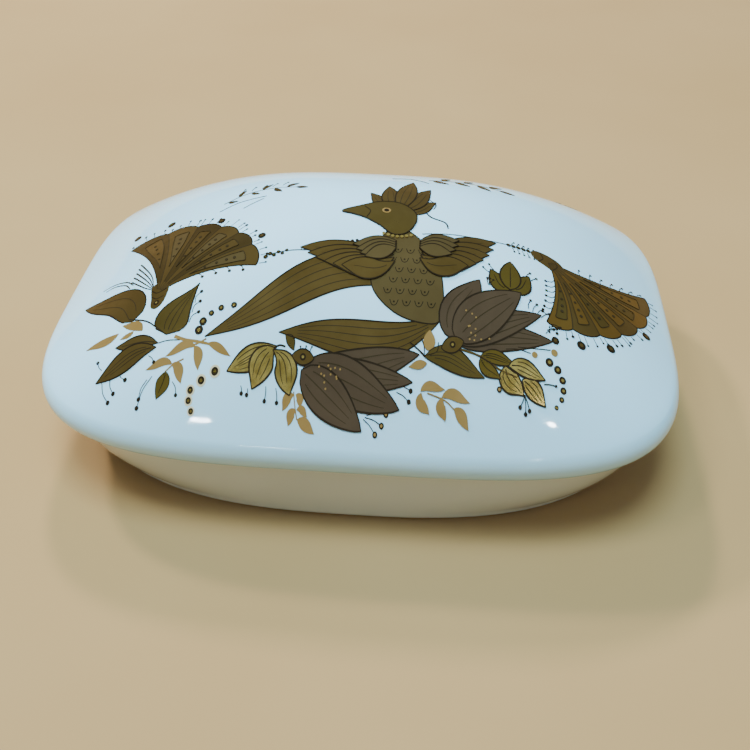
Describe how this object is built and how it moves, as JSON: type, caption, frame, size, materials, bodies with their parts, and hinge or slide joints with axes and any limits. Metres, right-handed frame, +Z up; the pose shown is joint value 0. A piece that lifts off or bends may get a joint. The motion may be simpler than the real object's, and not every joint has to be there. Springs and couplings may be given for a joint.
{
  "type": "lidded trinket box",
  "caption": "Porcelain trinket box: a tapering base with a foot ring, and a deeply domed lift-off lid with a locating flange.",
  "frame": {"origin": "middle of the foot ring's face, on the surface that the box stands on", "axes": "+X along the length, +Y across the width towards the back, +Z up through the crown of the lid"},
  "size_m": [0.14, 0.102, 0.0499],
  "materials": {
    "glazed_porcelain": "gloss",
    "bare_porcelain": "matte",
    "bronze_gilt": "satin",
    "bright_gilt": "satin",
    "mauve_lustre": "satin",
    "pale_gilt": "matte",
    "dark_line": "satin"
  },
  "bodies": {
    "base": {"base": "glazed_porcelain"},
    "lid": {"lid": "glazed_porcelain"}
  },
  "joints": [
    {"name": "lid_lift", "type": "slide", "parent": "base", "child": "lid", "axis": [0, 0, 1], "range_m": [0, 0.06]}
  ]
}
